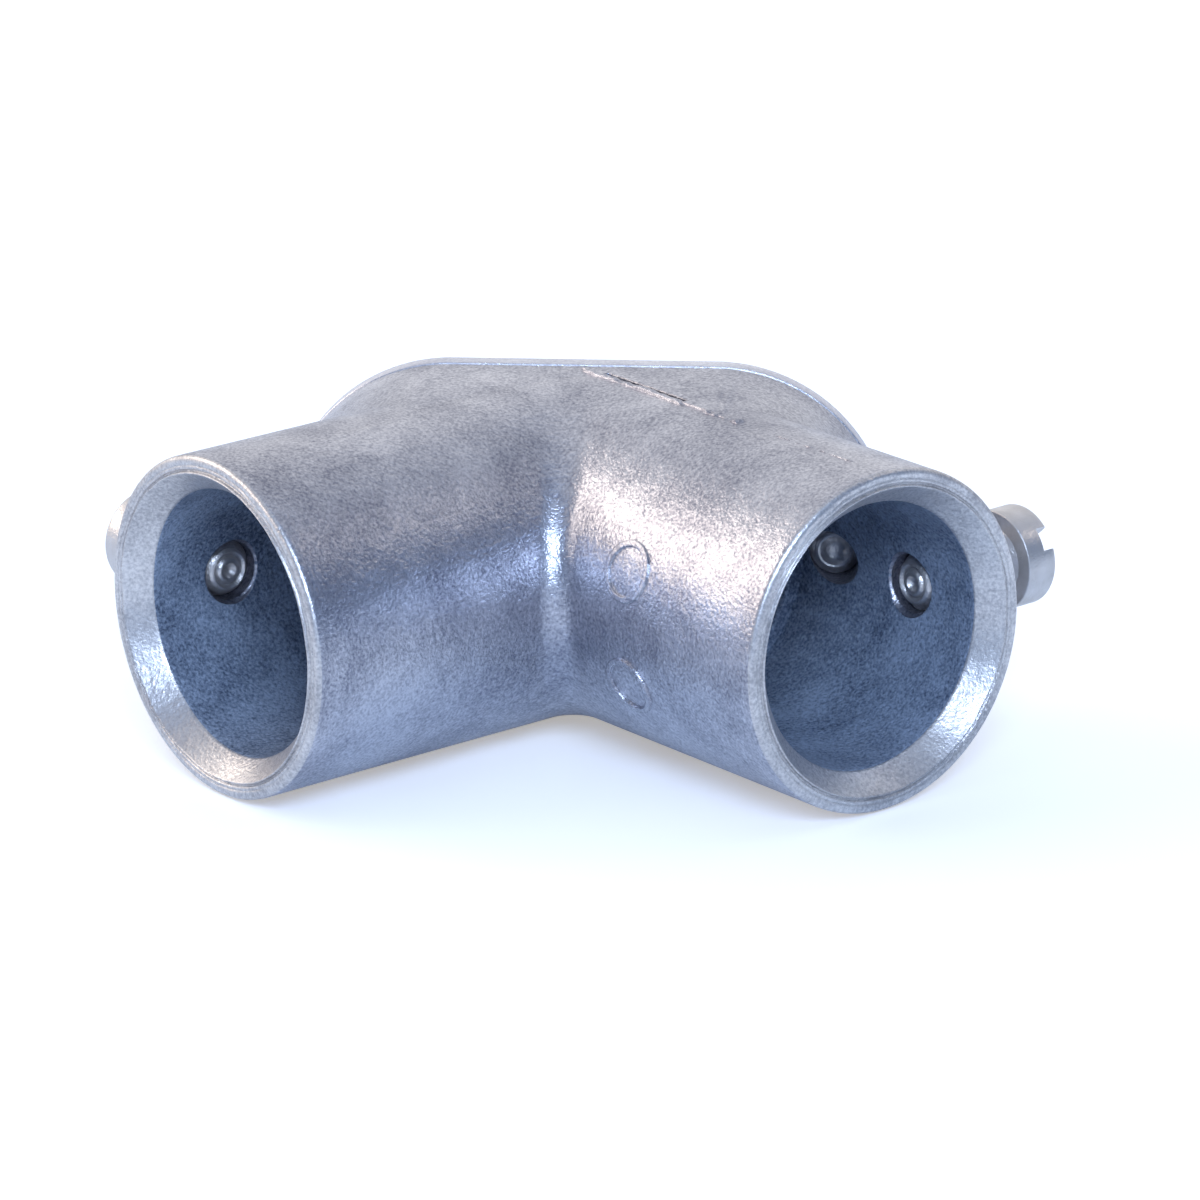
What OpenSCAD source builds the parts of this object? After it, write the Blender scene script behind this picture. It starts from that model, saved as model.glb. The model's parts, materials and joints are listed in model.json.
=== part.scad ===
// Set-screw pulling elbow for thin-wall electrical conduit: a 90 degree die casting with two sockets,
// a flat neck that is open on the outer corner, and a cover over that opening.
// X runs along the cover, +Y points out of the cover and +Z is up. The part lies on its side at Z = 0.

/* [Sockets] */
// Outer radius of each leg
leg_r = 11.7; // [10.8:0.1:12.4]
// Length of each leg, from the corner where the bore axes cross to the mouth
leg_len = 31.5; // [29:0.5:45]
// Radius of the bore that takes the conduit
bore_r = 9.1; // [8.9:0.05:9.3]
// Depth of the bore, from the mouth to the ledge that stops the conduit
bore_depth = 19; // [18:0.5:19]
// Radius of the passage behind the ledge
passage_r = 8.1; // [7.5:0.1:8.4]
// Depth of the lead-in chamfer at the mouth
chamfer_depth = 1.6; // [0.8:0.1:2]
// Width of the lead-in chamfer at the mouth
chamfer_w = 1.33; // [0.6:0.01:1.5]
// Radius of the rounded outer edge at the mouth
mouth_edge_r = 0.4; // [0.2:0.1:0.8]
// Radius of the blend on the inner corner, between the legs
corner_r = 2.1; // [1.5:0.1:4]

/* [Neck and cover] */
// Half length of the neck, along the cover
neck_half_l = 20.95; // [20.5:0.05:22]
// Half height of the neck, which stands just proud of the legs
neck_half_h = 11.85; // [11.8:0.05:12.3]
// Half length of the opening for pulling wires
opening_half_l = 12.6; // [11.5:0.1:12.6]
// Half height of the opening for pulling wires
opening_half_h = 8.6; // [8.4:0.1:9]
// Depth to which the opening is cut square, from the cover face
opening_depth = 5; // [3:0.5:5]
// Thickness of the gasket
gasket_t = 0.4; // [0.3:0.1:1]
// How far the gasket's edge lies inside the edge of the neck
gasket_inset = 0.3; // [0.1:0.1:0.6]
// Thickness of the cover
cover_t = 1.8; // [1.2:0.1:3]
// Radius of the cover's rounded outer edge
cover_edge_r = 0.6; // [0.3:0.1:0.8]

/* [Set screws] */
// Distance of each set screw from its mouth
set_mouth_dist = 8; // [7.5:0.5:10]
// Radius of the set screw's thread
set_thread_r = 2; // [1.7:0.05:2.2]
// Length of the set screw under its head
set_len = 9.2; // [8.5:0.1:12]
// Radius of the set screw's head
set_head_r = 3.45; // [3:0.05:3.8]
// Height of the set screw's head
set_head_h = 2.2; // [1.8:0.1:2.6]
// How far the tip stays behind the bore wall
set_tip_gap = 0.25; // [0.15:0.05:2]
// Radius of the boss round each set screw
boss_r = 4.3; // [4:0.1:5]
// Height of the boss over the leg's surface
boss_h = 1.4; // [0.6:0.1:2]

/* [Cover screws] */
// Distance of each cover screw from the middle of the cover
cover_screw_x = 17.5; // [17.2:0.1:17.6]
// Radius of the cover screw's thread
cover_thread_r = 1.75; // [1.4:0.05:1.75]
// Length of the cover screw under its head
cover_screw_len = 5; // [4.5:0.1:6]
// Radius of the cover screw's head
cover_head_r = 3; // [2.8:0.1:3.3]
// Height of the cover screw's head
cover_head_h = 1.9; // [1.6:0.1:2.4]

/* [Hidden] */
$fn = 96;
eps = 0.01;
over = 1;

// Clearance round a screw's thread in its hole, and round its shank in the cover
thread_gap = 0.05;
shank_gap = 0.2;
// The corner blend's tube is this much thinner than the legs, so that it meets them in a clean edge
blend_gap = 0.05;
// The neck's flat top reaches this far past the top line of each leg
seam_w = 0.3;

// The leg as it is turned: axis along +X, then swung 45 degrees towards the viewer
leg_turn = -45;
ledge_s = leg_len - bore_depth;
set_s = leg_len - set_mouth_dist;
boss_top = leg_r + boss_h;
set_seat = bore_r + set_tip_gap + set_len;
bend_r = leg_r + corner_r;
gasket_y = gasket_t;
cover_y = gasket_t + cover_t;
back_y = cover_y + cover_head_h;

// The mouth's rounded edge is the farthest point to the front
front_y = (leg_len + leg_r - 2 * mouth_edge_r) / sqrt(2) + mouth_edge_r;
origin_y = (front_y - back_y) / 2;

// Points on a quarter circle about c, from angle a0
function quarter(c, r, a0, n = 8) = [for (i = [0:n]) c + r * [cos(a0 + 90 * i / n), sin(a0 + 90 * i / n)]];

// A dome's height over its edge, at distance x from its middle, for a dome of height h over radius r
function dome_r(r, h) = (r * r + h * h) / (2 * h);
function dome_z(x, r, h) = sqrt(pow(dome_r(r, h), 2) - x * x) - dome_r(r, h) + h;

// Moves the part from the crossing of the bore axes to its own origin
module place() {
    translate([0, origin_y, neck_half_h]) children();
}

// Puts a child on both sides, the right one first
module both_sides() {
    for (side = [0, 1]) mirror([side, 0, 0]) children();
}

// Swings what is drawn along +X onto the right leg's axis
module along_leg() {
    rotate([0, 0, leg_turn]) children();
}

// Turns a child's +Z onto +X
module lay() {
    rotate([0, 90, 0]) children();
}

// Turns a child's +Z onto +Y
module face_back() {
    rotate([-90, 0, 0]) children();
}

// A slot shape with round ends, in the plane of the cover
module slot_2d(half_l, half_h) {
    square([2 * (half_l - half_h), 2 * half_h], center = true);
    for (side = [-1, 1]) translate([side * (half_l - half_h), 0]) circle(half_h);
}

// The outside of one leg, with the rounded edge at the mouth
module leg_solid() {
    along_leg() lay() rotate_extrude() polygon(concat(
        [[0, -2], [leg_r, -2]],
        quarter([leg_r - mouth_edge_r, leg_len - mouth_edge_r], mouth_edge_r, 0, 6),
        [[0, leg_len]]));
}

// The swept blend that fills the inner corner between the legs
module corner_blend() {
    translate([0, -bend_r * sqrt(2), 0]) rotate([0, 0, 45]) rotate_extrude(angle = 90)
        translate([bend_r, 0]) circle(leg_r - blend_gap);
}

// The neck: a slot-shaped block that reaches forward to the top line of each leg
module neck() {
    reach = neck_half_l + over;
    intersection() {
        face_back() translate([0, 0, -reach]) linear_extrude(reach) slot_2d(neck_half_l, neck_half_h);
        translate([0, 0, -neck_half_h - over]) linear_extrude(2 * (neck_half_h + over))
            polygon([[0, -seam_w], [reach, -reach - seam_w], [reach, over], [-reach, over],
                     [-reach, -reach - seam_w]]);
    }
}

// The raised pad round a set screw, on the outer side of the leg
module set_boss() {
    along_leg() translate([set_s, bore_r + 0.5, 0]) face_back() cylinder(r = boss_r, h = boss_top - bore_r - 0.5);
}

// The inside of one leg: chamfer, socket, ledge and passage
module leg_bore() {
    along_leg() lay() {
        translate([0, 0, leg_len - chamfer_depth]) cylinder(
            r1 = bore_r, r2 = bore_r + chamfer_w * (chamfer_depth + over) / chamfer_depth, h = chamfer_depth + over);
        translate([0, 0, ledge_s]) cylinder(r = bore_r, h = bore_depth - chamfer_depth + eps);
        translate([0, 0, -passage_r]) cylinder(r = passage_r, h = ledge_s + passage_r + eps);
    }
}

// The tapped hole for a set screw
module set_hole() {
    along_leg() translate([set_s, passage_r, 0]) face_back()
        cylinder(r = set_thread_r + thread_gap, h = boss_top - passage_r + over);
}

// The tapped hole for a cover screw, which breaks into the bore
module cover_screw_hole(reach) {
    translate([cover_screw_x, over, 0]) rotate([90, 0, 0])
        cylinder(r = cover_thread_r + thread_gap, h = reach + over);
}

// The cast body
module elbow_body() {
    color([0.66, 0.67, 0.7]) place() difference() {
        intersection() {
            union() {
                both_sides() leg_solid();
                corner_blend();
                neck();
                both_sides() set_boss();
            }
            translate([-2 * leg_len, -2 * leg_len, -leg_len]) cube([4 * leg_len, 2 * leg_len, 2 * leg_len]);
        }
        both_sides() leg_bore();
        translate([0, -opening_depth, 0]) face_back() linear_extrude(opening_depth + over)
            slot_2d(opening_half_l, opening_half_h);
        both_sides() cover_screw_hole(cover_screw_x / 2 - 1);
        both_sides() set_hole();
    }
}

// The thin gasket between the body and the cover
module cover_gasket() {
    color([0.17, 0.18, 0.2]) place() face_back() linear_extrude(gasket_t) difference() {
        slot_2d(neck_half_l - gasket_inset, neck_half_h - gasket_inset);
        slot_2d(opening_half_l, opening_half_h);
        for (side = [-1, 1]) translate([side * cover_screw_x, 0]) circle(cover_thread_r + shank_gap);
    }
}

// One round end of the cover, with its rounded outer edge
module cover_end() {
    rotate_extrude($fn = 64) polygon(concat(
        [[0, 0], [neck_half_h, 0]],
        quarter([neck_half_h - cover_edge_r, cover_t - cover_edge_r], cover_edge_r, 0, 5),
        [[0, cover_t]]));
}

// The flat cover
module cover_plate() {
    color([0.72, 0.73, 0.76]) place() translate([0, gasket_y, 0]) face_back() difference() {
        hull() for (side = [-1, 1]) translate([side * (neck_half_l - neck_half_h), 0, 0]) cover_end();
        for (side = [-1, 1]) translate([side * cover_screw_x, 0, -over])
            cylinder(r = cover_thread_r + shank_gap, h = cover_t + 2 * over);
    }
}

// A slotted screw that points down: its head sits on Z = 0, its tip is at Z = -len
module screw(thread_r, len, head_r, head_h, slot_w, slot_turn) {
    edge_h = 0.4 * head_h;
    tip_r = 0.74 * thread_r;
    tip_dome = 0.12 * thread_r;
    lead = thread_r - tip_r;
    steps = 8;
    difference() {
        rotate_extrude() polygon(concat(
            [for (i = [0:steps]) let (x = tip_r * i / steps) [x, -len + tip_dome - dome_z(x, tip_r, tip_dome)]],
            [[thread_r, -len + tip_dome + lead], [thread_r, 0], [head_r, 0]],
            [for (i = [steps:-1:0]) let (x = head_r * i / steps)
                [x, edge_h + dome_z(x, head_r, head_h - edge_h)]]));
        rotate([0, 0, slot_turn]) translate([-head_r - over, -slot_w / 2, 0.55 * head_h])
            cube([2 * (head_r + over), slot_w, head_h]);
    }
}

// A cover screw on the right side
module cover_screw(slot_turn) {
    color([0.78, 0.79, 0.8]) translate([cover_screw_x, cover_y, 0]) face_back()
        screw(cover_thread_r, cover_screw_len, cover_head_r, cover_head_h, 0.9, slot_turn);
}

// A set screw on the right leg
module set_screw(slot_turn) {
    color([0.78, 0.79, 0.8]) along_leg() translate([set_s, set_seat, 0]) face_back()
        screw(set_thread_r, set_len, set_head_r, set_head_h, 1.3, slot_turn);
}

module cover_screw_left() {
    place() mirror([1, 0, 0]) cover_screw(70);
}

module cover_screw_right() {
    place() cover_screw(20);
}

module set_screw_left() {
    place() mirror([1, 0, 0]) set_screw(75);
}

module set_screw_right() {
    place() set_screw(-30);
}

elbow_body();
cover_gasket();
cover_plate();
cover_screw_left();
cover_screw_right();
set_screw_left();
set_screw_right();
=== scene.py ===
# %% [markdown]
# # A conduit pulling elbow
# This fitting turns thin-wall steel conduit round a corner. It is one zinc die casting with two
# sockets, a set screw for each socket, and a screwed cover on the outer corner, where an
# electrician takes hold of the wires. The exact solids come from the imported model. Here every
# piece gets the soft edges, threads, cast grain and plating that the solids leave out.

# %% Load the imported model
import json
import math

import bmesh
import bpy
from mathutils import Matrix, Vector, noise


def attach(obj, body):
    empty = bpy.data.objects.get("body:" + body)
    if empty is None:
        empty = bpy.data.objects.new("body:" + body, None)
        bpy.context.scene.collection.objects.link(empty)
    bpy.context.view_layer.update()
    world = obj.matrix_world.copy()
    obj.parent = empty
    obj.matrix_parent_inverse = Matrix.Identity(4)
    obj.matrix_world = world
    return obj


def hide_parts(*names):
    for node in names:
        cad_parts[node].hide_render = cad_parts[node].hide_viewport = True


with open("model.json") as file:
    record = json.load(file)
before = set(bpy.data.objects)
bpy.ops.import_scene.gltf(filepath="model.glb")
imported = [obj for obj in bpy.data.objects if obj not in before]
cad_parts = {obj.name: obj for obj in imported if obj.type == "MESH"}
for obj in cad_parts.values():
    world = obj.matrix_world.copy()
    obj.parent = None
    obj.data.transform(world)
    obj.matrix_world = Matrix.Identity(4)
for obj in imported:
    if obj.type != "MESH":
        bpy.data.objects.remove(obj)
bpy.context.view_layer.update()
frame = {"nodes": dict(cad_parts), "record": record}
print("packed nodes:", sorted(frame["nodes"]))

# %% [markdown]
# ## Where things are
# The record names the two sockets as mounts, each with a point and a direction. The two socket
# axes cross at the corner of the elbow, and every piece below is placed from that crossing. All
# sizes are the real ones in millimetres, and one constant turns them into Blender's metres.

# %% The corner point and the directions
MM = 0.001
mounts = {mount["name"]: mount for mount in frame["record"]["mounts"]}
RIGHT = Vector(mounts["socket_right"]["axis"]).normalized()
LEFT = Vector(mounts["socket_left"]["axis"]).normalized()
BACK = Vector((0, 1, 0))
UP = Vector((0, 0, 1))
socket_point = Vector(mounts["socket_right"]["pos_m"])
CORNER = socket_point - RIGHT * (socket_point.x / RIGHT.x)
print("the socket axes cross at", [round(value / MM, 2) for value in CORNER], "mm")

# %% [markdown]
# ## The camera
# The photograph looks at the inner corner from a little above, from far away through a long
# lens. The angles and the distance come from matching the outlines of both mouths. The camera
# is placed round the corner point by azimuth, elevation and distance, and rolled a little.

# %% Camera
CAMERA_AZIMUTH = 6.42
CAMERA_ELEVATION = 18.59
CAMERA_ROLL = -0.93
CAMERA_DISTANCE = 451.2
CAMERA_TARGET = Vector((0.95, 0.0, -5.0))
FOCAL_PIXELS = 6520.6
FRAME_PIXELS = 1200
SENSOR = 36.0


def direction(azimuth, elevation):
    """The way towards a point seen at an azimuth from the front and an elevation, in degrees."""
    turn, rise = math.radians(azimuth), math.radians(elevation)
    return Vector((math.sin(turn) * math.cos(rise), -math.cos(turn) * math.cos(rise), math.sin(rise)))


to_camera = direction(CAMERA_AZIMUTH, CAMERA_ELEVATION)
camera_data = bpy.data.cameras.new("camera")
camera_data.sensor_width = SENSOR
camera_data.lens = FOCAL_PIXELS * SENSOR / FRAME_PIXELS
camera_data.clip_start = 0.01
camera = bpy.data.objects.new("camera", camera_data)
bpy.context.scene.collection.objects.link(camera)
camera.location = CORNER + (CAMERA_TARGET + to_camera * CAMERA_DISTANCE) * MM
roll = Matrix.Rotation(math.radians(CAMERA_ROLL), 3, "Z")
camera.rotation_euler = ((-to_camera).to_track_quat("-Z", "Y").to_matrix() @ roll).to_euler()
bpy.context.scene.camera = camera
print("lens", round(camera_data.lens, 1), "mm")

# %% [markdown]
# ## Small tools for solids
# Most of the fitting is turned or cut, so three tools do most of the work. A lathe spins a
# profile round an axis, a block with round ends makes the slot-shaped parts, and a Boolean
# modifier joins or cuts solids. The modifier is applied at once, so a plain mesh stays.
# Meshes are made in millimetres round the corner point, because real sizes are easy to read,
# and they move to their place in metres at the very end.

# %% Profiles and the lathe


def rounded(corners, count=4):
    """A profile through (along, radius, rounding) corners, where a rounding softens its corner."""
    points = []
    for number, (along, radius, rounding) in enumerate(corners):
        corner = Vector((along, radius))
        if not rounding:
            points.append(corner)
            continue
        before = (Vector(corners[number - 1][:2]) - corner).normalized() * rounding
        after = (Vector(corners[(number + 1) % len(corners)][:2]) - corner).normalized() * rounding
        shares = [step / count for step in range(count + 1)]
        points += [corner + before * (1 - share) ** 2 + after * share ** 2 for share in shares]
    return points


def tidy(bm):
    """Closes seams and poles, and turns every face outwards."""
    bmesh.ops.remove_doubles(bm, verts=bm.verts, dist=1e-4)
    bmesh.ops.dissolve_degenerate(bm, edges=bm.edges, dist=1e-5)
    bmesh.ops.recalc_face_normals(bm, faces=bm.faces)
    return bm


def lathe(points, closed=False, steps=144):
    """A solid of revolution round Z, from (along, radius) points."""
    bm = bmesh.new()
    verts = [bm.verts.new((radius, 0, along)) for along, radius in points]
    edges = [bm.edges.new(pair) for pair in zip(verts, verts[1:] + verts[:closed])]
    bmesh.ops.spin(bm, geom=verts + edges, cent=(0, 0, 0), axis=(0, 0, 1), dvec=(0, 0, 0),
                   angle=2 * math.pi, steps=steps, use_merge=True, use_duplicate=False)
    return tidy(bm)


# %% Placing, blocks and cuts


def everything(bm):
    return bm.verts[:] + bm.edges[:] + bm.faces[:]


def facing(out, along, origin=(0, 0, 0)):
    """The matrix that turns Z to point out and X to point along, and moves to an origin."""
    turned = Matrix((along, out.cross(along), out)).transposed()
    return Matrix.Translation(origin) @ turned.to_4x4()


def put(bm, matrix):
    bmesh.ops.transform(bm, matrix=matrix, verts=bm.verts)
    return bm


def slot_block(half_l, half_h, low_y, high_y, steps=128):
    """A block with round ends that runs along Y, from low_y to high_y."""
    bm = bmesh.new()
    matrix = Matrix.Rotation(math.radians(90), 4, "X") @ Matrix.Rotation(math.pi / steps, 4, "Z")
    bmesh.ops.create_circle(bm, cap_ends=True, segments=steps, radius=half_h, matrix=matrix)
    for vert in bm.verts:
        vert.co.x += math.copysign(half_l - half_h, vert.co.x)
        vert.co.y = low_y
    grown = bmesh.ops.extrude_face_region(bm, geom=bm.faces[:])["geom"]
    bmesh.ops.translate(bm, verts=[item for item in grown if isinstance(item, bmesh.types.BMVert)],
                        vec=(0, high_y - low_y, 0))
    return tidy(bm)


def as_object(bm, name):
    mesh = bpy.data.meshes.new(name)
    bm.to_mesh(mesh)
    bm.free()
    piece = bpy.data.objects.new(name, mesh)
    bpy.context.scene.collection.objects.link(piece)
    return piece


def combine(piece, tool_bm, operation):
    """Joins a solid to a piece, or cuts it away, and applies the result."""
    tool = as_object(tool_bm, "tool")
    boolean = piece.modifiers.new("combine", "BOOLEAN")
    boolean.operation = operation
    boolean.solver = "MANIFOLD"
    boolean.object = tool
    result = bpy.data.meshes.new_from_object(piece.evaluated_get(bpy.context.evaluated_depsgraph_get()))
    piece.modifiers.clear()
    piece.data = result
    bpy.data.objects.remove(tool)


def take_mesh(piece):
    """The piece's mesh as a bmesh, after which the piece itself goes."""
    bm = bmesh.new()
    bm.from_mesh(piece.data)
    bpy.data.objects.remove(piece)
    return bm


# %% [markdown]
# ## The legs of the casting
# The outside of each leg is a plain rod. Its rim carries two fine grooves, and next to the
# chamfer the burr where two parts of the die met. One profile holds all of that, so one turn on
# the lathe makes a leg. A little noise makes the burr uneven. A mitre cut through the corner
# and a mirror then make both legs from one.

# %% Outside of a leg
LEG_R = 11.7
LEG_LEN = 31.5
BORE_R = mounts["socket_right"]["dims"]["r_mm"]
CHAMFER_DEPTH = 1.6
CHAMFER_W = 1.33
RIM_EDGE_R = 0.45
BURR_H = 0.07
BEYOND_CORNER = 14
MIDDLE_R = 5
# Grooves and burr on the rim, as (height over the rim, distance outside the chamfer).
RIM_MARKS = ((0, 0.66), (-0.06, 0.6), (0, 0.54), (0, 0.36), (-0.16, 0.28), (-0.12, 0.2), (BURR_H, 0.12))
MARKS_DEPTH = 0.2
MARKS_W = 0.7
# Unevenness of the burr, as (height, waves per millimetre).
BURR_NOISE = ((0.09, 0.7), (0.04, 2.5))


def both_sides(bm):
    """Adds the mirror image on the other side of X = 0, and joins the two there."""
    bmesh.ops.mirror(bm, geom=everything(bm), matrix=Matrix.Identity(4), merge_dist=1e-3, axis="X")
    return tidy(bm)


def cut_off(bm, point, normal):
    """Removes what lies behind a plane, and leaves the cut open."""
    bmesh.ops.bisect_plane(bm, geom=everything(bm), plane_co=point, plane_no=normal, clear_inner=True)


def mitred(bm):
    """Two bars from one that was turned round Z, one along each leg."""
    put(bm, facing(RIGHT, UP))
    cut_off(bm, (0, 0, 0), (1, 0, 0))
    return both_sides(bm)


chamfer_r = BORE_R + CHAMFER_W
burr_top = LEG_LEN + BURR_H
rod = [(-BEYOND_CORNER, 0, 0), (-BEYOND_CORNER, LEG_R, 0), (LEG_LEN, LEG_R, RIM_EDGE_R)]
rim = [(LEG_LEN + height, chamfer_r + out, 0) for height, out in RIM_MARKS]
leg = lathe(rounded(rod + rim + [(burr_top, MIDDLE_R, 0), (burr_top, 0, 0)]))
for vert in leg.verts:
    if vert.co.z > LEG_LEN - MARKS_DEPTH and MIDDLE_R + 1 < vert.co.xy.length < chamfer_r + MARKS_W:
        vert.co.z += sum(height * noise.noise(vert.co * waves) for height, waves in BURR_NOISE)
legs = mitred(leg)
print("both legs", len(legs.faces), "faces")

# %% [markdown]
# ## The soft inner corner
# In the casting the two legs meet in a valley that is rounded, so that the metal flows and the
# die wears well. A bevel on just the mitre's edges makes that rounding. It comes before the
# legs are divided along their length, because a bevel is only as wide as the nearest edge loop
# lets it be. The rings come next, because a Boolean shades long thin faces badly.

# %% Valley and rings
BLEND_R = 1.8
BLEND_SEGMENTS = 10
RING_GAP = 1.5


def ringed(bm):
    """Cuts both legs across at every ring, and keeps all parts."""
    for step in range(1, int(LEG_LEN / RING_GAP)):
        for axis in (RIGHT, LEFT):
            bmesh.ops.bisect_plane(bm, geom=everything(bm), plane_co=axis * step * RING_GAP, plane_no=axis)
    return bm


def in_valley(vert):
    """Whether a vertex of the legs lies where their outsides meet, in front of the corner."""
    from_axis = math.hypot(vert.co.y * RIGHT.x, vert.co.z)
    return abs(vert.co.x) < 1e-3 and vert.co.y < -1 and from_axis > BORE_R


def soften(bm, edges, radius, segments):
    """Rounds edges with a bevel of a radius."""
    bmesh.ops.bevel(bm, geom=edges, offset=radius, offset_type="OFFSET", affect="EDGES",
                    segments=segments, profile=0.5, material=-1)


valley = [edge for edge in legs.edges if all(in_valley(vert) for vert in edge.verts)]
soften(legs, valley, BLEND_R, BLEND_SEGMENTS)
casting = as_object(ringed(tidy(legs)), "elbow_casting")
print(len(valley), "valley edges, now", len(casting.data.polygons), "faces")

# %% [markdown]
# ## The neck
# Behind the legs, the casting rises as a neck with round ends, and the cover sits on its flat
# face. It reaches forward to the top line of each leg and stands a hair proud of it. On the
# right the step is crisp, and on the left it was dressed to a gentle ramp. Each half is a block
# with planes cut off it. Here and below, a block or a cutter reaches a little over what it
# joins or cuts, because a Boolean is sure of itself only where no two faces coincide.

# %% Neck
NECK_HALF_L = 20.95
NECK_HALF_H = 11.85
STEP_FRONT = 0.3
RAMP_FRONT = 1.1
RAMP_DEG = 14
HALVES_LAP = 0.4
OVER = 1
MIRROR = Matrix.Scale(-1, 4, (1, 0, 0))


def neck_half(front, planes):
    """The right half of the neck, whose front edge crosses X = 0 at a distance before the corner."""
    bm = slot_block(NECK_HALF_L, NECK_HALF_H, -NECK_HALF_L - 2 * OVER, 2 * OVER)
    for point, normal in [((-HALVES_LAP, 0, 0), (1, 0, 0)), ((0, -front, 0), (1, 1, 0))] + planes:
        cut_off(bm, point, normal)
        bmesh.ops.holes_fill(bm, edges=bm.edges)
    return tidy(bm)


slope = math.tan(math.radians(RAMP_DEG)) * RIGHT.x
ramps = [((0, 0, side * NECK_HALF_H), (slope, slope, -side)) for side in (-1, 1)]
combine(casting, neck_half(STEP_FRONT, []), "UNION")
combine(casting, tidy(put(neck_half(RAMP_FRONT, ramps), MIRROR)), "UNION")
print("legs and neck", len(casting.data.polygons), "faces")

# %% [markdown]
# ## Pads, sockets and holes
# A round pad thickens the wall under each set screw. The back is cut flat for the cover. Then
# one turned and mitred core hollows both legs at once, just as the core of the die does: a
# chamfered mouth, the socket for the conduit, and a narrower passage behind its ledge. The wire
# opening and the screw holes are cut last. A set screw's hole opens out a little at both ends,
# as a tapped hole does, and the edge in the socket catches the light.

# %% Pads and sockets
BORE_DEPTH = 19.0
PASSAGE_R = 8.1
SET_DIST = 8.0
COVER_SCREW_X = 17.5
BOSS_R = 4.3
BOSS_H = 1.4
BOSS_EDGE_R = 0.35
# The foot of a pad, as (height over the leg, distance outside the pad, rounding).
BOSS_FOOT = ((-0.9, 0.7, 0.3), (0.2, 0, 0.5))
CORE_BEYOND_CORNER = 13
LEDGE_EDGE_R = 0.3
CHAMFER_EDGE_R = 0.25
CLEAR_OF_ALL = 120

set_along = LEG_LEN - SET_DIST
boss_top = LEG_R + BOSS_H
sides = [{"name": "right", "leg": RIGHT, "out": Vector((-RIGHT.y, RIGHT.x, 0)), "across": Vector((1, 0, 0))},
         {"name": "left", "leg": LEFT, "out": Vector((LEFT.y, -LEFT.x, 0)), "across": Vector((-1, 0, 0))}]
foot = [(LEG_R + height, BOSS_R + out, rounding) for height, out, rounding in BOSS_FOOT]
top = [(boss_top, BOSS_R, BOSS_EDGE_R), (boss_top, 0, 0)]
pad = rounded([(BORE_R, 0, 0), (BORE_R, BOSS_R + OVER, 0)] + foot + top)
for side in sides:
    side["set_screw"] = facing(side["out"], side["leg"], side["leg"] * set_along)
    side["cover_screw"] = facing(BACK, side["across"], side["across"] * COVER_SCREW_X)
    combine(casting, put(lathe(pad, steps=72), side["set_screw"]), "UNION")

behind = bmesh.new()
bmesh.ops.create_cube(behind, size=CLEAR_OF_ALL, matrix=Matrix.Translation(BACK * CLEAR_OF_ALL / 2))
combine(casting, behind, "DIFFERENCE")

ledge = LEG_LEN - BORE_DEPTH
core_end = LEG_LEN + OVER
flare = CHAMFER_W / CHAMFER_DEPTH
passage = [(-CORE_BEYOND_CORNER, 0, 0), (-CORE_BEYOND_CORNER, PASSAGE_R, 0), (ledge, PASSAGE_R, LEDGE_EDGE_R)]
socket = [(ledge, BORE_R, 0), (LEG_LEN - CHAMFER_DEPTH, BORE_R, CHAMFER_EDGE_R)]
mouth = [(core_end, chamfer_r + flare * OVER, 0), (core_end, 0, 0)]
combine(casting, ringed(mitred(lathe(rounded(passage + socket + mouth)))), "DIFFERENCE")
print("hollow casting", len(casting.data.polygons), "faces")

# %% Wire opening and screw holes
OPENING_HALF_L = 12.6
OPENING_HALF_H = 8.6
OPENING_DEPTH = 5.0
SET_THREAD_R = 2.0
COVER_THREAD_R = 1.75
COVER_HOLE_DEPTH = 8
HOLE_GAP = 0.05
LEAD_IN = 0.14
SOCKET_FLARE = 0.3
OUTER_LEAD_IN = 0.3
PAST_TOP = 0.1

combine(casting, slot_block(OPENING_HALF_L, OPENING_HALF_H, -OPENING_DEPTH, OVER), "DIFFERENCE")
# From the socket outwards, the hole narrows, runs straight through the wall, and widens again.
hole_r = SET_THREAD_R + HOLE_GAP
wide_r = hole_r + OUTER_LEAD_IN + PAST_TOP
inner_end = [(PASSAGE_R, 0), (PASSAGE_R, hole_r + LEAD_IN + SOCKET_FLARE), (BORE_R, hole_r + LEAD_IN)]
straight = [(BORE_R + LEAD_IN, hole_r), (boss_top - OUTER_LEAD_IN, hole_r)]
outer_end = [(boss_top + PAST_TOP, wide_r), (boss_top + OVER, wide_r), (boss_top + OVER, 0)]
set_hole = inner_end + straight + outer_end
hole_r = COVER_THREAD_R + HOLE_GAP
cover_hole = [(-COVER_HOLE_DEPTH, 0), (-COVER_HOLE_DEPTH, hole_r), (-OUTER_LEAD_IN, hole_r),
              (OVER, hole_r + OUTER_LEAD_IN + OVER), (OVER, 0)]
for side in sides:
    combine(casting, put(lathe(set_hole, steps=60), side["set_screw"]), "DIFFERENCE")
    combine(casting, put(lathe(cover_hole, steps=64), side["cover_screw"]), "DIFFERENCE")
print("drilled casting", len(casting.data.polygons), "faces")

# %% [markdown]
# ## Marks that the die leaves
# Molten zinc finds every gap between the two halves of a die. It leaves a thin broken seam of
# flash along the right leg's top line, and a fine ring on the leg where each ejector pin
# pushed the casting out. The seam is a grid that follows the line with uneven height, so that
# it dips under the surface here and there. Each ring is a short tube, trimmed by a cylinder
# that is a hair wider than the leg.

# %% Flash seam and pin rings
PIN_ALONG = 18.2
PIN_TURN = 20.0
PIN_R = 1.9
PIN_W = 0.4
PIN_H = 0.16
SKIN_START = 5
SKIN_END = 30
WANDER = 0.07
WANDER_WAVES = 9
LIFT_WAVES_PER_MM = 1.3
FADE_PART = 12
SIDE_DROP = 0.6
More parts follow.
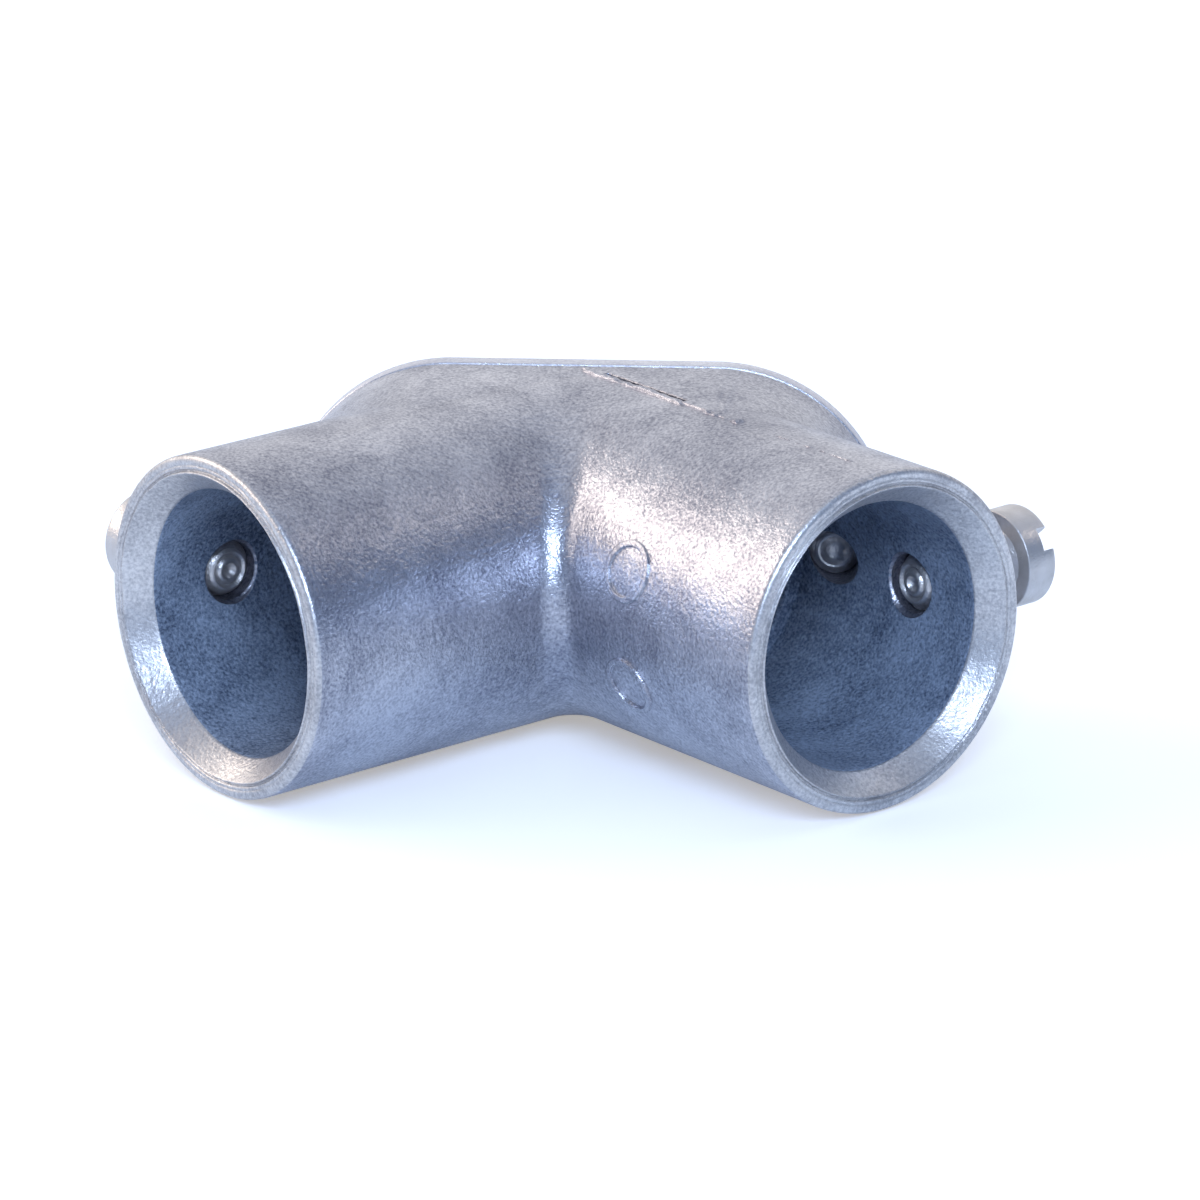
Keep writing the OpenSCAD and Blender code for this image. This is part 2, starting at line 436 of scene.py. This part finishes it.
# The operation, start, end, middle, width, low, high and unevenness of each strip, in
# millimetres along, across and over the right leg's top line. The first is the shadow line on
# the neck, the second the flash beside it, and the others are its traces on the leg.
SEAM = (("DIFFERENCE", 2.4, 11.0, 0.1, 0.46, 0.6, -0.32, 0.08),
        ("UNION", 0.4, 11.3, -0.26, 0.42, -0.5, 0.24, 0.16),
        ("UNION", 13.2, 17.5, -0.1, 0.7, -0.5, 0.05, 0.4),
        ("UNION", 20.6, 29.0, -0.15, 0.28, -0.5, 0.03, 0.16))


def seam_strip(start, end, middle, width, low, high, uneven, steps=140):
    """A strip along the top line, from height low to about height high, that fades at both ends."""
    bm = bmesh.new()
    bmesh.ops.create_grid(bm, x_segments=steps, y_segments=2, size=0.5)
    for vert in bm.verts:
        share, across = vert.co.x + 0.5, vert.co.y
        wander = WANDER * noise.noise(Vector((share * WANDER_WAVES, start, 0)))
        lift = uneven * noise.noise(Vector((share * (end - start) * LIFT_WAVES_PER_MM, middle, 5)))
        fade = min(1, FADE_PART * min(share, 1 - share))
        height = high - SIDE_DROP * abs(across * high) + lift
        vert.co = (start + (end - start) * share, middle + wander + across * width, LEG_R + height * fade)
    grown = bmesh.ops.extrude_face_region(bm, geom=bm.faces[:])["geom"]
    for item in grown:
        if isinstance(item, bmesh.types.BMVert):
            item.co.z = LEG_R + low
    return put(tidy(bm), facing(UP, RIGHT))


for operation, *strip in SEAM:
    combine(casting, seam_strip(*strip), operation)

inner_r = PIN_R - PIN_W / 2
outer_r = PIN_R + PIN_W / 2
tube = [(LEG_R - OVER, inner_r), (LEG_R + OVER, inner_r), (LEG_R + OVER, outer_r), (LEG_R - OVER, outer_r)]
skin_r = LEG_R + PIN_H
skin = [(SKIN_START, 0), (SKIN_START, skin_r), (SKIN_END, skin_r), (SKIN_END, 0)]
for turn in (PIN_TURN, -PIN_TURN):
    normal = Matrix.Rotation(math.radians(turn), 3, RIGHT) @ Vector((RIGHT.y, -RIGHT.x, 0))
    place = facing(normal, RIGHT, RIGHT * PIN_ALONG)
    ring = as_object(put(lathe(tube, closed=True, steps=96), place), "ring")
    combine(ring, put(lathe(skin, steps=288), facing(RIGHT, UP)), "INTERSECT")
    combine(casting, take_mesh(ring), "UNION")
print("finished casting", len(casting.data.polygons), "faces")

# %% [markdown]
# ## Cover and gasket
# The cover is a plate with round ends and two screw holes. Its outer edge is well rounded and
# its inner edge only just. Both roundings are bevels on an extruded outline. The gasket is the
# same outline, a little smaller, with the wire opening cut out of it.

# %% Cover and gasket
GASKET_T = 0.4
GASKET_INSET = 0.3
COVER_T = 1.8
COVER_EDGE_R = 0.6
COVER_INNER_EDGE_R = 0.12
SHANK_GAP = 0.2
THROUGH_COVER = 5
cover_y = GASKET_T + COVER_T


def edges_at(bm, y):
    return [edge for edge in bm.edges if all(abs(vert.co.y - y) < 1e-4 for vert in edge.verts)]


plate = slot_block(NECK_HALF_L, NECK_HALF_H, GASKET_T, cover_y)
soften(plate, edges_at(plate, cover_y), COVER_EDGE_R, 6)
soften(plate, edges_at(plate, GASKET_T), COVER_INNER_EDGE_R, 2)
cover = as_object(tidy(plate), "cover")
gasket = as_object(slot_block(NECK_HALF_L - GASKET_INSET, NECK_HALF_H - GASKET_INSET, 0, GASKET_T), "gasket")
combine(gasket, slot_block(OPENING_HALF_L, OPENING_HALF_H, -OVER, OVER), "DIFFERENCE")
shank_r = COVER_THREAD_R + SHANK_GAP
shank_hole = [(-OVER, 0), (-OVER, shank_r), (THROUGH_COVER, shank_r), (THROUGH_COVER, 0)]
for side in sides:
    for piece in (cover, gasket):
        combine(piece, put(lathe(shank_hole, steps=64), side["cover_screw"]), "DIFFERENCE")
print("cover", len(cover.data.polygons), "faces, gasket", len(gasket.data.polygons), "faces")

# %% [markdown]
# ## Screws
# A rolled thread is one ridge that climbs round the shank. Spin makes it in one go: it turns a
# strip that is one pitch tall, and lifts it by one pitch on every turn, so each turn meets the
# one before. The tip is squeezed to a taper, and its open edge is extruded inwards ring by ring.
# That gives each kind of screw its own end: a set screw ends in two rings round a small dimple,
# which bite into the conduit, and a cover screw ends in a shallow cup. A set screw's head is
# tall, because it is turned hard and often, and its wide slot is cut deep into the tall edge.

# %% Threaded shank
PITCH = 0.79
THREAD_DEPTH = 0.44
THREAD_STEPS = 48
INTO_HEAD = 0.3
TIP_H = 0.2
TIP_TAPER = 1.1
JUST_ABOVE = 0.01


def shank(crest, length, tip_r, tip_rings):
    """A threaded bar under Z = 0, whose tip ends in rings of (share of tip_r, height)."""
    bm = bmesh.new()
    low = -length - PITCH
    root = crest - THREAD_DEPTH
    shape = ((0, root), (0.08, root), (0.43, crest), (0.57, crest), (0.92, root), (1, root))
    verts = [bm.verts.new((radius, 0, low + share * PITCH)) for share, radius in shape]
    edges = [bm.edges.new(pair) for pair in zip(verts, verts[1:])]
    turns = math.ceil((length + INTO_HEAD) / PITCH) + 2
    bmesh.ops.spin(bm, geom=verts + edges, cent=(0, 0, 0), axis=(0, 0, 1),
                   dvec=(0, 0, PITCH / THREAD_STEPS), angle=2 * math.pi * turns,
                   steps=THREAD_STEPS * turns, use_merge=False, use_duplicate=False)
    bmesh.ops.remove_doubles(bm, verts=bm.verts, dist=1e-3)
    tip = -length + TIP_H
    cut_off(bm, (0, 0, tip), (0, 0, 1))
    cut_off(bm, (0, 0, INTO_HEAD), (0, 0, -1))
    for vert in bm.verts:
        limit = tip_r + (vert.co.z - tip) * TIP_TAPER
        if vert.co.xy.length > limit:
            vert.co.xy = vert.co.xy.normalized() * limit
    edge_loop = [edge for edge in bm.edges if edge.is_boundary and edge.verts[0].co.z < tip + JUST_ABOVE]
    for share, z in tip_rings:
        grown = bmesh.ops.extrude_edge_only(bm, edges=edge_loop)["geom"]
        edge_loop = [item for item in grown if isinstance(item, bmesh.types.BMEdge) and item.is_boundary]
        for vert in {vert for edge in edge_loop for vert in edge.verts}:
            vert.co.xy = vert.co.xy.normalized() * tip_r * share
            vert.co.z = tip + z
    bmesh.ops.holes_fill(bm, edges=[edge for edge in bm.edges if edge.is_boundary])
    return tidy(bm)


# %% Whole screws
SET_TIP_GAP = 0.25
SET_LEN = 9.2
DOME_STEPS = 8
INTO_SHANK = 0.1
# Millimetres. A head's edge runs from its skirt under Z = 0 up to edge_h, and the slot's floor
# lies slot_floor over Z = 0. Each ring of a tip is (share of tip_r, height).
SET_SCREW = {
    "thread": SET_THREAD_R, "length": SET_LEN, "head_r": 3.45, "head_h": 1.9, "edge_h": 0.6, "edge_r": 0.2,
    "skirt": 1.75, "under_r": 0.15, "fillet": 0.35, "slot_w": 1.6, "slot_floor": -0.25, "tip_r": 1.62,
    "tip": ((0.96, -0.08), (0.88, -0.2), (0.8, -0.26), (0.74, -0.2), (0.67, -0.03), (0.62, -0.01),
            (0.55, -0.2), (0.47, -0.31), (0.4, -0.33), (0.32, -0.28), (0.24, -0.08), (0.15, 0.06),
            (0.05, 0.09))}
COVER_SCREW = {
    "thread": COVER_THREAD_R, "length": 5.6, "head_r": 3.0, "head_h": 1.9, "edge_h": 0.8, "edge_r": 0.35,
    "skirt": 0.0, "under_r": 0.15, "fillet": 0.0, "slot_w": 0.9, "slot_floor": 1.0, "tip_r": 1.4,
    "tip": ((0.97, -0.06), (0.9, -0.16), (0.82, -0.2), (0.74, -0.16), (0.66, 0.0), (0.5, 0.22),
            (0.3, 0.36), (0.1, 0.4))}
COVER_SLOT_TURNS = (20, -70)
SET_SLOT_TURNS = (-33, -75)
set_seat = BORE_R + SET_TIP_GAP + SET_LEN


def slotted_screw(name, kind, slot_turn, place):
    """A screw in its place, with a domed head at Z = 0 and a slot turned by slot_turn degrees."""
    head_r, head_h, edge_h = kind["head_r"], kind["head_h"], kind["edge_h"]
    base, fillet = -kind["skirt"], kind["fillet"]
    dome_h = head_h - edge_h
    dome_r = (head_r ** 2 + dome_h ** 2) / (2 * dome_h)
    lean = math.asin(head_r / dome_r)
    angles = [lean * step / DOME_STEPS for step in range(DOME_STEPS - 1, -1, -1)]
    dome = [(head_h - dome_r + dome_r * math.cos(angle), dome_r * math.sin(angle), 0) for angle in angles]
    thread = kind["thread"]
    foot = [(base - fillet, 0, 0), (base - fillet, thread - INTO_SHANK, 0), (base, thread + fillet, 0)]
    head = [(base, head_r, kind["under_r"]), (edge_h, head_r, kind["edge_r"])]
    profile = rounded(foot + head + dome, count=6)
    screw = as_object(shank(thread, kind["length"], kind["tip_r"], kind["tip"]), name)
    combine(screw, lathe(profile, steps=96), "UNION")
    block = bmesh.new()
    turned = Matrix.Rotation(math.radians(slot_turn), 4, "Z")
    raised = Matrix.Translation((0, 0, kind["slot_floor"] + head_h))
    stretched = Matrix.Diagonal((4 * head_r, kind["slot_w"], 2 * head_h, 1))
    bmesh.ops.create_cube(block, size=1, matrix=turned @ raised @ stretched)
    combine(screw, block, "DIFFERENCE")
    screw.data.transform(place)
    print(name, len(screw.data.polygons), "faces")
    return screw


screws = []
for side, cover_turn, set_turn in zip(sides, COVER_SLOT_TURNS, SET_SLOT_TURNS):
    place = Matrix.Translation(BACK * cover_y) @ side["cover_screw"]
    screws.append(slotted_screw("machine_screw_" + side["name"], COVER_SCREW, cover_turn, place))
    place = Matrix.Translation(side["out"] * set_seat) @ side["set_screw"]
    screws.append(slotted_screw("clamp_screw_" + side["name"], SET_SCREW, set_turn, place))

# %% [markdown]
# ## Finishes
# All finishes are made of nodes and read Object coordinates, so they stay put on the metal.
# Colours are written as sRGB hex codes, and one function turns them into the linear numbers
# that shaders use. Another adds a node with its settings and links, and short ones on top of it
# make what comes up again: a noise with a grain of a real size, a mix, a bump and a surface.

# %% Colour and node helpers


def colour(code):
    """An sRGB hex code as linear red, green, blue and alpha."""
    parts = [int(code[place:place + 2], 16) / 255 for place in (1, 3, 5)]
    linear = [part / 12.92 if part <= 0.04045 else ((part + 0.055) / 1.055) ** 2.4 for part in parts]
    return (*linear, 1.0)


def add_node(tree, kind, inputs=None, **settings):
    """One node with its settings, and each input as a value or as a link."""
    made = tree.nodes.new(kind)
    for key, value in settings.items():
        setattr(made, key, value)
    for key, value in (inputs or {}).items():
        if isinstance(value, bpy.types.NodeSocket):
            tree.links.new(value, made.inputs[key])
        else:
            made.inputs[key].default_value = value
    return made


def grainy(tree, size, **inputs):
    """Noise from 0 to 1 on the object, with patches about a size in millimetres wide."""
    place = add_node(tree, "ShaderNodeTexCoord").outputs["Object"]
    inputs = {"Vector": place, "Scale": 1 / (size * MM), **inputs}
    return add_node(tree, "ShaderNodeTexNoise", inputs).outputs["Fac"]


def blend(tree, share, first, second):
    """A colour between two."""
    inputs = {"Factor": share, "A": first, "B": second}
    return add_node(tree, "ShaderNodeMix", inputs, data_type="RGBA").outputs["Result"]


def multiply_add(tree, value, factor, addend):
    inputs = {0: value, 1: factor, 2: addend}
    return add_node(tree, "ShaderNodeMath", inputs, operation="MULTIPLY_ADD").outputs[0]


def dot_product(tree, first, second):
    inputs = {0: first, 1: second}
    return add_node(tree, "ShaderNodeVectorMath", inputs, operation="DOT_PRODUCT").outputs["Value"]


def remap(tree, value, low, high, low_to=0.0, high_to=1.0):
    """Stretches the range from low to high over the range from low_to to high_to."""
    inputs = {"Value": value, "From Min": low, "From Max": high, "To Min": low_to, "To Max": high_to}
    return add_node(tree, "ShaderNodeMapRange", inputs).outputs["Result"]


def bumped(tree, height, depth, **inputs):
    """The surface's direction, tilted by a height from 0 to 1 that is depth millimetres deep."""
    inputs = {"Height": height, "Distance": depth * MM, "Strength": 1.0, **inputs}
    return add_node(tree, "ShaderNodeBump", inputs).outputs["Normal"]


def surface(tree, tone, metallic, roughness, normal):
    """The shader and the output that end a material."""
    shader = add_node(tree, "ShaderNodeBsdfPrincipled", {
        "Base Color": tone, "Metallic": metallic, "Roughness": roughness, "Normal": normal})
    add_node(tree, "ShaderNodeOutputMaterial", {"Surface": shader.outputs[0]})


def new_material(name):
    material = bpy.data.materials.new(name)
    material.use_nodes = True
    material.node_tree.nodes.clear()
    return material, material.node_tree


# %% [markdown]
# ## Die-cast zinc
# Zinc alloy cast in a steel die is a soft grey metal, never a mirror. It shows a fine grain of
# about a fifth of a millimetre from the die's worn face, a slight orange peel, cloudy flow
# patches, and edges that tumbling has polished a little. Grain and peel go into the bump, the
# clouds and a fine salt of light and dark grains into colour and roughness, and a Bevel node
# finds the edges. Tumbling stones don't reach the sockets: in there the metal keeps its dull
# casting skin, which is mostly oxide, so it is only a little metallic. Its darker, slate-blue
# colours are painted shade and painted bluish light inside the bores. The mouths were trimmed
# after casting, and are lighter and finer there. The cover's lighter, bluer colours are a painted
# highlight, the bright reflection along its rounded edge. One function makes all four, from two
# colours and three numbers: how rough the metal is, how deep its grain is in millimetres, and
# how metallic it looks.

# %% Cast zinc
GRAIN = 0.22
PEEL = 1.1
CLOUD = 7.0
EDGE_R = 0.18
EDGE_START = 0.99
EDGE_FULL = 0.9
EDGE_STRENGTH = 0.6
EDGE_POLISH = -0.12
GRAIN_IN_MOTTLE = 1.1
MOTTLE_LOW = 0.78
MOTTLE_HIGH = 1.32
DULLER = 0.08
SHINIER = 0.06
PEEL_IN_HEIGHT = 1.6


def cast_zinc(name, light, dark, roughness, grain_depth, metallic):
    material, tree = new_material(name)
    grain = grainy(tree, GRAIN, Detail=2.0, Roughness=0.6)
    peel = grainy(tree, PEEL, Detail=3.0, Roughness=0.6)
    cloud = grainy(tree, CLOUD, Detail=6.0, Roughness=0.65, Distortion=0.6)
    soft = add_node(tree, "ShaderNodeBevel", {"Radius": EDGE_R * MM}, samples=6).outputs["Normal"]
    plain = add_node(tree, "ShaderNodeNewGeometry").outputs["Normal"]
    edge = remap(tree, dot_product(tree, soft, plain), EDGE_START, EDGE_FULL, 0.0, EDGE_STRENGTH)
    mottle = multiply_add(tree, grain, GRAIN_IN_MOTTLE, cloud)
    share = remap(tree, mottle, MOTTLE_LOW, MOTTLE_HIGH)
    shiny = remap(tree, mottle, MOTTLE_LOW, MOTTLE_HIGH, roughness + DULLER, roughness - SHINIER)
    polished = multiply_add(tree, edge, EDGE_POLISH, shiny)
    height = multiply_add(tree, peel, PEEL_IN_HEIGHT, grain)
    tone = blend(tree, share, colour(dark), colour(light))
    surface(tree, tone, metallic, polished, bumped(tree, height, grain_depth, Normal=soft))
    return material


die_cast_zinc = cast_zinc("die_cast_zinc", "#d4d5dc", "#8b8d9a", 0.34, 0.05, 1.0)
# Painted shade: the socket walls' darker slate-blue colours paint in the shaded, bluish light inside the
# bores; the dull, barely metallic skin is the metal's own.
socket_zinc_blue_shade = cast_zinc("dull_socket_zinc", "#a2b1c7", "#48556a", 0.48, 0.06, 0.2)
trimmed_zinc = cast_zinc("trimmed_mouth_zinc", "#e2e0df", "#abaaad", 0.37, 0.028, 0.92)
# Painted highlight: the cover's lighter, bluer colours paint in the bright reflection along its rounded edge.
cover_zinc_painted_highlight = cast_zinc("tumbled_cover_zinc", "#e4e6ee", "#c8cad4", 0.33, 0.03, 1.0)

# %% [markdown]
# ## Zinc plate and rubber
# The screws are steel with a thin bright zinc plate. It follows the rolled surface, so it has a
# finer grain than the casting, and a slightly warm, uneven tone. The gasket is matt black
# rubber, of which only the cut edge shows, and that dark edge also paints in the shaded gap
# between the cover and the neck.

# %% Plated steel
PLATE_GRAIN = 0.18
PLATE_DEPTH = 0.035
PLATE_BLOTCH = 1.5
PLATE_METALLIC = 0.85
RUBBER_GRAIN = 0.2
RUBBER_DEPTH = 0.02
RUBBER_ROUGHNESS = 0.8


def plated_steel():
    material, tree = new_material("zinc_plated_steel")
    blotch = grainy(tree, PLATE_BLOTCH, Detail=4.0)
    fine = grainy(tree, PLATE_GRAIN, Detail=2.0)
    tone = blend(tree, blotch, colour("#b6b2ae"), colour("#e4e2e3"))
    roughness = remap(tree, blotch, 0.3, 0.7, 0.42, 0.28)
    surface(tree, tone, PLATE_METALLIC, roughness, bumped(tree, fine, PLATE_DEPTH))
    return material


# Painted shade: besides being black rubber, this layer's dark edge stands in for the shaded gap between the
# cover and the neck.
def gasket_rubber_and_gap_shade():
    material, tree = new_material("black_gasket_rubber")
    grain = grainy(tree, RUBBER_GRAIN, Detail=3.0)
    tone = blend(tree, grain, colour("#17181b"), colour("#2b2d31"))
    surface(tree, tone, 0.0, RUBBER_ROUGHNESS, bumped(tree, grain, RUBBER_DEPTH))
    return material


# %% [markdown]
# ## Each piece to its place
# Every piece is scaled to metres, moved to the corner point, and smoothed up to an angle, so
# that round faces look round and real edges stay. Then it rides on the one body, takes the
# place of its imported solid, and names the finish it belongs to. The casting has three finishes,
# so each of its faces is asked whether it lies outside, in a socket, or on a trimmed mouth.

# %% Finish the pieces
PLACE = Matrix.Translation(CORNER) @ Matrix.Scale(MM, 4)
RIM_TRIM = 0.2
WALL_SKIN = 0.05


def finish_piece(piece, material, node, smooth_angle):
    piece.data.transform(PLACE)
    piece.data.materials.clear()
    piece.data.materials.append(material)
    piece.data.shade_smooth()
    piece.data.set_sharp_from_angle(angle=math.radians(smooth_angle))
    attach(piece, "root")
    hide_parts(node)


def zone(point):
    """0 on the outside of the casting, 1 on a wall inside it, and 2 on the trimmed end of a mouth."""
    places = [(point.dot(axis), axis) for axis in (RIGHT, LEFT)]
    reach, along = min(((point - axis * max(0, along)).length, along) for along, axis in places)
    if along > LEG_LEN - RIM_TRIM or along > LEG_LEN - CHAMFER_DEPTH and reach < chamfer_r + WALL_SKIN:
        return 2
    return int(reach < BORE_R + WALL_SKIN and point.y < -0.01)


screw_steel = plated_steel()
zones = [zone(face.center) for face in casting.data.polygons]
finish_piece(casting, die_cast_zinc, "elbow_body", 30)
casting.data.materials.append(socket_zinc_blue_shade)
casting.data.materials.append(trimmed_zinc)
casting.data.polygons.foreach_set("material_index", zones)
print("inside walls have", zones.count(1), "faces, trimmed mouths", zones.count(2))
finish_piece(cover, cover_zinc_painted_highlight, "cover_plate", 30)
finish_piece(gasket, gasket_rubber_and_gap_shade(), "cover_gasket", 30)
for screw in screws:
    kind = "cover_screw_" if screw.name.startswith("machine") else "set_screw_"
    finish_piece(screw, screw_steel, kind + screw.name.split("_")[-1], 35)
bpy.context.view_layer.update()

# %% [markdown]
# ## Floor, light and room
# The floor is plain and pale. To the camera it glows a little, so that it reads as white, but
# it keeps the soft shadow, and reflections see some of that glow. Metal shows what stands round
# it, so the room matters as much as the lamps. A wide window of warm light on the left draws
# the long highlight on the right leg. A small bluish window in front and above lights the
# sockets and the valley, a small warm lamp stands on the right, and the top is even and grey.
# The world behind them is light towards the back and left, and slate blue towards the front.

# %% Floor
FLOOR_HALF = 3.0
GLOW_IN_METAL = 0.2

floor_bm = bmesh.new()
bmesh.ops.create_grid(floor_bm, x_segments=1, y_segments=1, size=FLOOR_HALF)
floor = as_object(floor_bm, "floor")
floor_material, tree = new_material("white_floor")
paths = add_node(tree, "ShaderNodeLightPath").outputs
paper = add_node(tree, "ShaderNodeBsdfDiffuse", {"Color": colour("#e4eef9")}).outputs[0]
glow = add_node(tree, "ShaderNodeEmission", {"Color": colour("#fffaf2"), "Strength": 0.4}).outputs[0]
glowing_paper = add_node(tree, "ShaderNodeAddShader", {0: paper, 1: glow}).outputs[0]
seen = multiply_add(tree, paths["Is Glossy Ray"], GLOW_IN_METAL, paths["Is Camera Ray"])
mixed = add_node(tree, "ShaderNodeMixShader", {0: seen, 1: paper, 2: glowing_paper})
add_node(tree, "ShaderNodeOutputMaterial", {"Surface": mixed.outputs[0]})
floor.data.materials.append(floor_material)

# %% Lamps
bpy.context.scene.view_settings.view_transform = "Standard"


def softbox(name, azimuth, elevation, distance, width, height, power, tint):
    """A rectangular area light that faces the elbow, in degrees, metres and watts."""
    data = bpy.data.lights.new(name, "AREA")
    data.shape = "RECTANGLE"
    data.size, data.size_y = width, height
    data.energy = power
    data.color = colour(tint)[:3]
    lamp = bpy.data.objects.new(name, data)
    bpy.context.scene.collection.objects.link(lamp)
    away = direction(azimuth, elevation)
    lamp.location = CORNER + away * distance
    lamp.rotation_euler = away.to_track_quat("Z", "Y").to_euler()


softbox("window_left", -92, 27, 1.6, 1.6, 0.7, 11.5, "#ffecda")
softbox("front_window", 12, 34, 1.5, 0.6, 0.45, 17.5, "#cbdefa")
softbox("lamp_right", 98, 42, 1.6, 0.25, 0.25, 0.8, "#ffeeda")
softbox("top", 0, 85, 1.6, 1.4, 1.4, 1.5, "#ffffff")

# %% Room
LIGHT_SIDE = (-0.35, 0.85, 0.0)

world = bpy.data.worlds.new("studio")
bpy.context.scene.world = world
world.use_nodes = True
tree = world.node_tree
tree.nodes.clear()
view = add_node(tree, "ShaderNodeTexCoord").outputs["Generated"]
back_share = remap(tree, dot_product(tree, view, LIGHT_SIDE), -0.35, 0.8)
room = blend(tree, back_share, colour("#61779b"), colour("#fbfbff"))
to_camera_ray = add_node(tree, "ShaderNodeLightPath").outputs["Is Camera Ray"]
tone = blend(tree, to_camera_ray, room, colour("#ffffff"))
background = add_node(tree, "ShaderNodeBackground", {"Color": tone, "Strength": 1.0})
add_node(tree, "ShaderNodeOutputWorld", {"Surface": background.outputs[0]})
